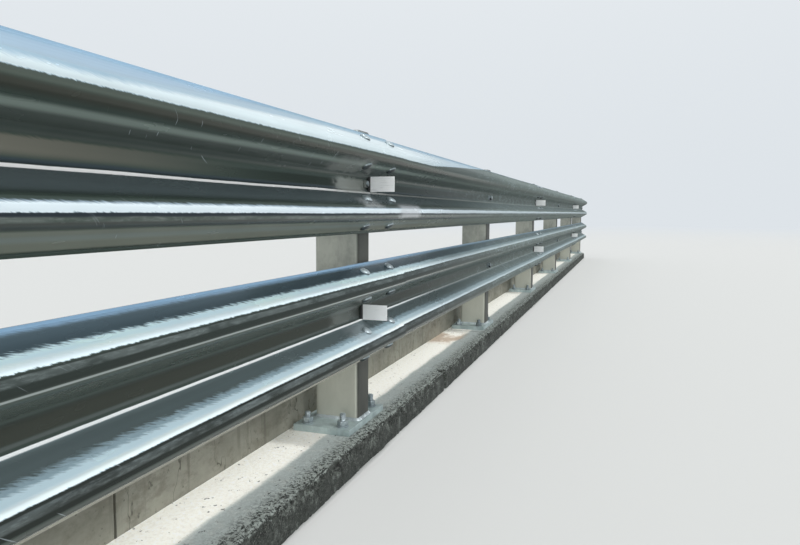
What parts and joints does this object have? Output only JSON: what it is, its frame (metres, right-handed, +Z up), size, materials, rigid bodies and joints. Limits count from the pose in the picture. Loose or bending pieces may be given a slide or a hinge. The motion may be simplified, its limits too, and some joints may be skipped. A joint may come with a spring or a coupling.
{
  "type": "highway guardrail section",
  "caption": "Two-tier galvanised W-beam guardrail on box posts with base plates, bolted to a concrete kerb with a low back wall; rails lap at splices.",
  "frame": {"origin": "mid-length, in the plane of the posts' road faces, on the underside of the kerb", "axes": "+X along the road, -Y to the road side, +Z up"},
  "size_m": [12.4, 0.443, 1.031],
  "materials": {
    "galvanised_rail": "bright hot-dip galvanised, streaked and scratched",
    "galvanised_post": "dull hot-dip galvanised",
    "galvanised_plate": "hot-dip galvanised, mottled",
    "delineator": "white reflective sheet on a folded plate",
    "kerb_concrete": "cast concrete, pitted road face, cement stains",
    "wall_concrete": "cast concrete with vertical form marks and stains",
    "fasteners": "zinc-coated bolts, nuts and washers"
  },
  "bodies": {
    "root": {"upper_rail_1": "galvanised_rail", "upper_rail_2": "galvanised_rail", "upper_rail_3": "galvanised_rail", "upper_rail_4": "galvanised_rail", "upper_delineator_1": "delineator", "upper_delineator_2": "delineator", "upper_delineator_3": "delineator", "lower_rail_1": "galvanised_rail", "lower_rail_2": "galvanised_rail", "lower_rail_3": "galvanised_rail", "lower_rail_4": "galvanised_rail", "lower_delineator_1": "delineator", "lower_delineator_2": "delineator", "lower_delineator_3": "delineator", "post_1": "galvanised_post", "post_cap_1": "galvanised_post", "base_plate_1": "galvanised_plate", "post_2": "galvanised_post", "post_cap_2": "galvanised_post", "base_plate_2": "galvanised_plate", "post_3": "galvanised_post", "post_cap_3": "galvanised_post", "base_plate_3": "galvanised_plate", "post_4": "galvanised_post", "post_cap_4": "galvanised_post", "base_plate_4": "galvanised_plate", "post_5": "galvanised_post", "post_cap_5": "galvanised_post", "base_plate_5": "galvanised_plate", "post_6": "galvanised_post", "post_cap_6": "galvanised_post", "base_plate_6": "galvanised_plate", "post_7": "galvanised_post", "post_cap_7": "galvanised_post", "base_plate_7": "galvanised_plate", "kerb_1": "kerb_concrete", "kerb_2": "kerb_concrete", "kerb_3": "kerb_concrete", "back_wall_1": "wall_concrete", "back_wall_2": "wall_concrete", "back_wall_3": "wall_concrete", "back_wall_4": "wall_concrete", "back_wall_5": "wall_concrete", "back_wall_6": "wall_concrete"}
  },
  "joints": []
}
